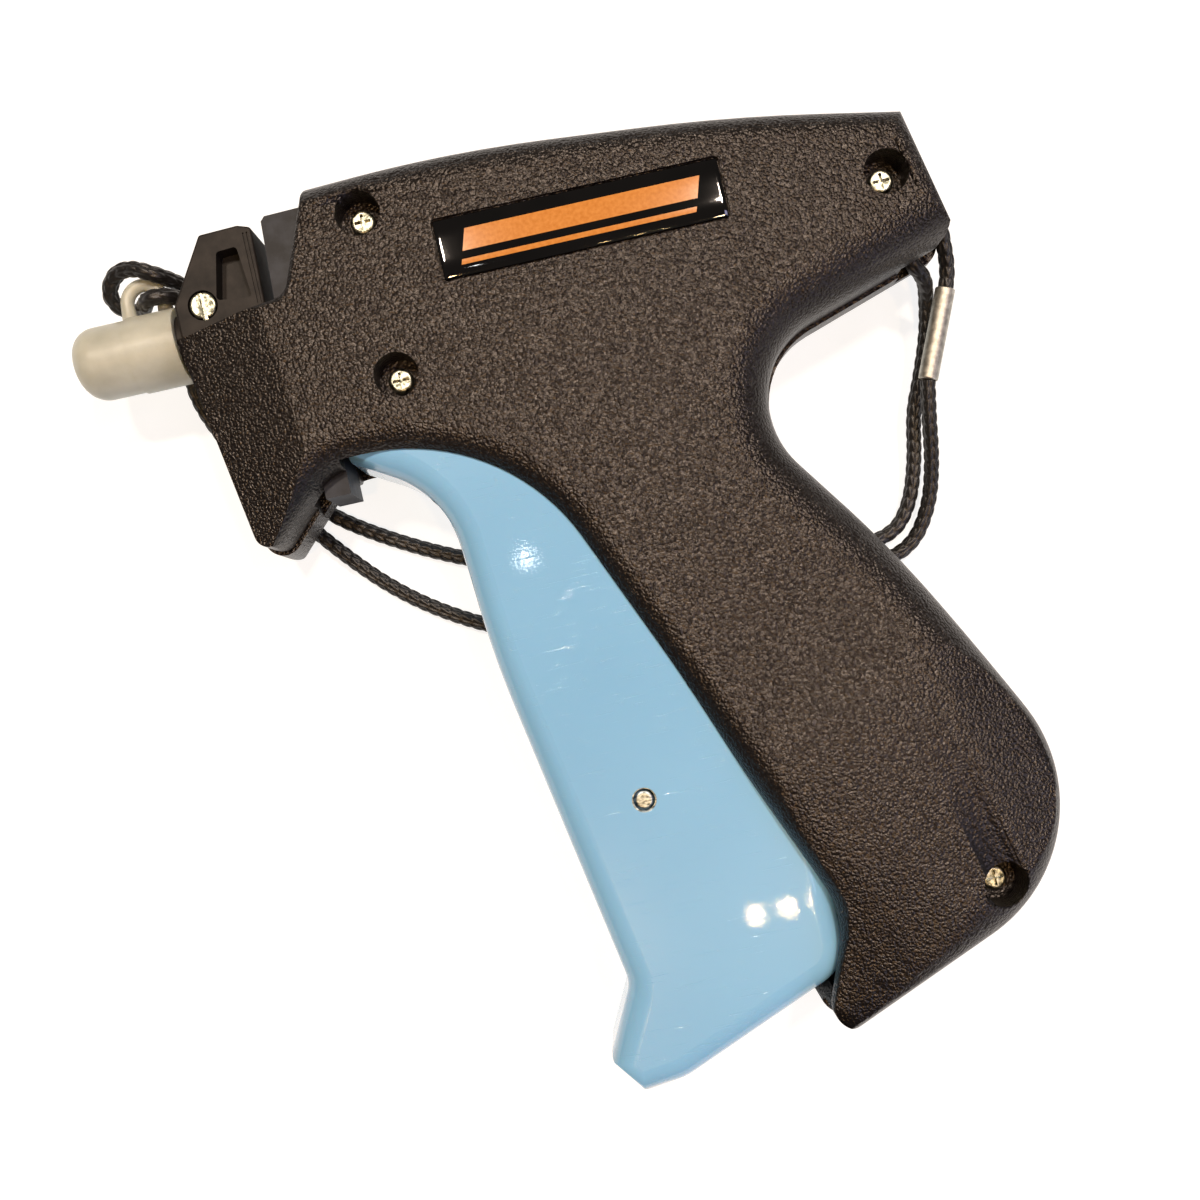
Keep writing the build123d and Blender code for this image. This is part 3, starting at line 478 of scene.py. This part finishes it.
# ---------------------------------------------------------------- the badge
DOME_DROP_MM = 0.45  # how much lower the dome is at its corners
DOME_RIM_MM = 0.35  # its rounded rim
DOME_COLUMNS, DOME_ROWS = 60, 20
DOME_LIFT_MM = 0.02  # its back, clear of the recess
STRIPES_MM = [(0.75, 3.4), (-2.6, 0.8)]  # middle and width of each printed stripe
STRIPE_END_MM = 4.0  # bare dome beyond each end
STRIPE_LEAN = 0.3  # slant of the ends
STRIPE_LIFT_MM = 0.015
STRIPE_COLUMNS, STRIPE_ROWS = 48, 4


def dome_drop(x, y):
    """How much lower than its crown the dome is, at a place between -1 and 1 each way."""
    return DOME_DROP_MM * MM * (0.25 * x ** 6 + 0.75 * y ** 4)


def dome_rim():
    """Indexes of the points round the dome's sheet, in order."""
    wide, last = DOME_COLUMNS + 1, DOME_ROWS * (DOME_COLUMNS + 1)
    return (list(range(wide)) + [j * wide + DOME_COLUMNS for j in range(1, DOME_ROWS + 1)]
            + [last + i for i in range(DOME_COLUMNS - 1, -1, -1)] + [j * wide for j in range(DOME_ROWS - 1, 0, -1)])


def badge():
    """A resin dome over a black plate, with two plain stripes printed under it."""
    low, high = (Vector(corner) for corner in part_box("badge"))
    middle, half = (low + high) / 2, (high - low) / 2
    points, faces = sheet(DOME_COLUMNS, DOME_ROWS, lambda x, y: (
        middle.x + half.x * x, middle.y + half.y * y, high.z - dome_drop(x, y)))
    rim, base = dome_rim(), len(points)
    points += [(points[index][0], points[index][1], low.z + DOME_LIFT_MM * MM) for index in rim]
    count = len(rim)
    for k in range(count):
        faces.append((rim[k], base + k, base + (k + 1) % count, rim[(k + 1) % count]))
    faces.append(tuple(range(base + count - 1, base - 1, -1)))
    plate = mesh_piece("badge_dome", points, faces, RESIN)
    soften = plate.modifiers.new("rim", "BEVEL")
    soften.width = DOME_RIM_MM * MM
    soften.segments = 3
    soften.limit_method = "ANGLE"
    soften.angle_limit = math.radians(40)
    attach(plate, "body")
    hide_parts("badge")
    reach = half.x - STRIPE_END_MM * MM
    for number, (offset_mm, width_mm) in enumerate(STRIPES_MM):
        def printed(x, y):
            """A point of this stripe, on the dome."""
            along, up = reach * x, (offset_mm + width_mm / 2 * y) * MM
            return (middle.x + along + up * STRIPE_LEAN, middle.y + up,
                    high.z - dome_drop(along / half.x, up / half.y) + STRIPE_LIFT_MM * MM)

        stripe = mesh_piece(f"badge_stripe_{number + 1}", *sheet(STRIPE_COLUMNS, STRIPE_ROWS, printed), INK)
        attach(stripe, "body")


# ---------------------------------------------------------------- light, floor and camera
CAMERA_HEIGHT_MM = 224.5
CAMERA_OVER_MM = (56.6, -66.8)  # point of the tool's axes under the camera
CAMERA_ROLL = math.radians(-12.7)
SENSOR_MM = 36.0
FOCUS_PX, IMAGE_PX = 1280.0, 1200.0
AXIS_PX = (621.0, 665.0)  # where the camera's axis meets the image, from its top left corner
NEAREST = 0.01  # the camera sees nothing closer

FLOOR_HALF = 3.0
ROOM_COLOUR, ROOM_LIGHT = "#f6ece4", 0.07
LAMPS = [  # name, place, side, watts and colour of each square light; all face the middle of the floor
    ("ceiling_left", (-0.26, 0.57, 1.5), 0.12, 13.5, "#ffebd6"),
    ("ceiling_right", (0.405, 0.507, 1.5), 0.12, 14.5, "#ffecd9"),
    ("ceiling_rear", (0.55, -0.1, 1.2), 0.4, 2.2, "#d8d4ff"),
    ("ceiling_grip", (0.34, -0.36, 1.5), 0.06, 4.0, "#ffdcaa"),
    ("lamp_front", (-0.179, -0.377, 1.5), 0.05, 4.5, "#ffc98a"),
    ("downlight_1", (0.1055, -0.367, 1.5), 0.012, 0.14, "#ffd595"),
    ("downlight_2", (0.148, -0.367, 1.5), 0.012, 0.14, "#ffd595"),
    ("downlight_3", (0.1905, -0.367, 1.5), 0.012, 0.14, "#ffd595"),
    ("roof_light", (-0.087, 0.155, 1.5), 0.02, 0.035, "#ffffff"),
    ("window", (0.7, -0.6, 0.5), 0.4, 2.0, "#d6daff"),
]


def camera():
    """A camera straight above the tool, rolled to the way that it lies."""
    data = bpy.data.cameras.new("camera")
    data.sensor_width = SENSOR_MM
    data.lens = SENSOR_MM * FOCUS_PX / IMAGE_PX
    data.shift_x = (IMAGE_PX / 2 - AXIS_PX[0]) / IMAGE_PX
    data.shift_y = (AXIS_PX[1] - IMAGE_PX / 2) / IMAGE_PX
    data.clip_start = NEAREST
    eye = bpy.data.objects.new("camera", data)
    eye.location = place(*CAMERA_OVER_MM, CAMERA_HEIGHT_MM)
    eye.rotation_euler = (0.0, 0.0, CAMERA_ROLL)
    bpy.context.scene.collection.objects.link(eye)
    bpy.context.scene.camera = eye


def lamp(name, spot, side, watts, code):
    """A square light at a spot, facing the middle of the floor."""
    data = bpy.data.lights.new(name, "AREA")
    data.size = side
    data.energy = watts
    data.color = colour(code)[:3]
    light = bpy.data.objects.new(name, data)
    light.location = spot
    light.rotation_euler = (-Vector(spot)).to_track_quat("-Z", "Y").to_euler()
    bpy.context.scene.collection.objects.link(light)


def studio():
    """A lit table, a dim room and its lights."""
    size = FLOOR_HALF
    corners = [(-size, -size, 0), (size, -size, 0), (size, size, 0), (-size, size, 0)]
    floor = mesh_piece("floor", corners, [(0, 1, 2, 3)], opal_acrylic(), smooth=False)
    world = bpy.data.worlds.new("studio")
    bpy.context.scene.world = world
    world.use_nodes = True
    connect(world.node_tree, world.node_tree.nodes["Background"],
            {"Color": colour(ROOM_COLOUR), "Strength": ROOM_LIGHT})
    for settings in LAMPS:
        lamp(*settings)
    bpy.context.scene.view_settings.view_transform = "Standard"


for node_name, node_finish in FINISHES.items():
    finish_node(node_name, node_finish)
lanyard()
return_spring()
badge()
studio()
camera()
